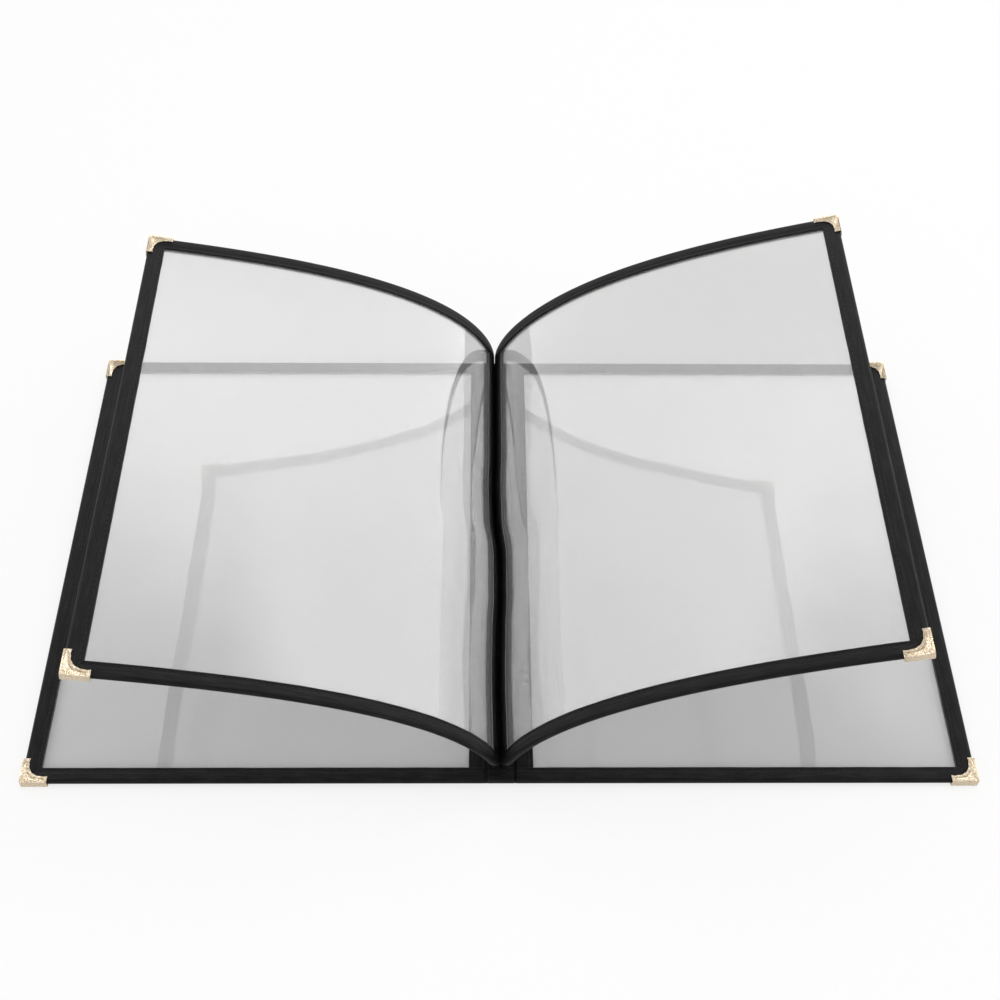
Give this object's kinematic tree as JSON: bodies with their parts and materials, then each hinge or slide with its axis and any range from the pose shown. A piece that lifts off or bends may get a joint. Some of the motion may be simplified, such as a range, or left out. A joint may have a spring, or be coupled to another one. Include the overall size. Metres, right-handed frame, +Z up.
{
  "type": "menu cover",
  "caption": "Open booklet menu cover: clear vinyl pocket leaves bound in black leatherette tape, brass corner protectors, two flat covers and raised curling pages.",
  "frame": {"origin": "on the table under the middle of the spine, halfway between head and foot", "axes": "+X to the reader's right across the open spread, +Y along the spine towards the head of the pages, +Z up"},
  "size_m": [0.4994, 0.3014, 0.1286],
  "materials": {
    "clear_vinyl": "clear glossy flexible vinyl sheet, faintly hazy",
    "leatherette": "black grained leatherette tape, satin, lockstitched",
    "brass_corner": "stamped pale brass plate with fine relief, polished"
  },
  "bodies": {
    "spine": {"left_seam_tape": "leatherette", "left_seam_head_binding": "leatherette", "left_seam_foot_binding": "leatherette", "left_page_spine_binding": "leatherette", "right_seam_tape": "leatherette", "right_seam_head_binding": "leatherette", "right_seam_foot_binding": "leatherette", "right_page_spine_binding": "leatherette"},
    "left_page": {"left_page_front_window": "clear_vinyl", "left_page_back_window": "clear_vinyl", "left_page_head_binding": "leatherette", "left_page_foot_binding": "leatherette", "left_page_side_binding": "leatherette", "left_page_head_corner": "brass_corner", "left_page_foot_corner": "brass_corner"},
    "left_cover": {"left_cover_spine_binding": "leatherette", "left_cover_front_window": "clear_vinyl", "left_cover_back_window": "clear_vinyl", "left_cover_head_binding": "leatherette", "left_cover_foot_binding": "leatherette", "left_cover_side_binding": "leatherette", "left_cover_head_corner": "brass_corner", "left_cover_foot_corner": "brass_corner"},
    "right_page": {"right_page_front_window": "clear_vinyl", "right_page_back_window": "clear_vinyl", "right_page_head_binding": "leatherette", "right_page_foot_binding": "leatherette", "right_page_side_binding": "leatherette", "right_page_head_corner": "brass_corner", "right_page_foot_corner": "brass_corner"},
    "right_cover": {"right_cover_spine_binding": "leatherette", "right_cover_front_window": "clear_vinyl", "right_cover_back_window": "clear_vinyl", "right_cover_head_binding": "leatherette", "right_cover_foot_binding": "leatherette", "right_cover_side_binding": "leatherette", "right_cover_head_corner": "brass_corner", "right_cover_foot_corner": "brass_corner"}
  },
  "joints": [
    {"name": "left_page_turn", "type": "hinge", "parent": "spine", "child": "left_page", "pos_m": [-0.0085, 0, 0.0023], "axis": [0, 1, 0], "range_deg": [-26.5, 61.8], "deforming": ["left_page_front_window", "left_page_back_window", "left_page_head_binding", "left_page_foot_binding"]},
    {"name": "left_cover_turn", "type": "hinge", "parent": "left_page", "child": "left_cover", "pos_m": [-0.0085, 0, 0.0023], "axis": [0, 1, 0], "range_deg": [-62, 26.8]},
    {"name": "right_page_turn", "type": "hinge", "parent": "spine", "child": "right_page", "pos_m": [0.0085, 0, 0.0023], "axis": [0, -1, 0], "range_deg": [-31.7, 56.5], "deforming": ["right_page_front_window", "right_page_back_window", "right_page_head_binding", "right_page_foot_binding"]},
    {"name": "right_cover_turn", "type": "hinge", "parent": "right_page", "child": "right_cover", "pos_m": [0.0085, 0, 0.0023], "axis": [0, -1, 0], "range_deg": [-56.8, 32]}
  ]
}
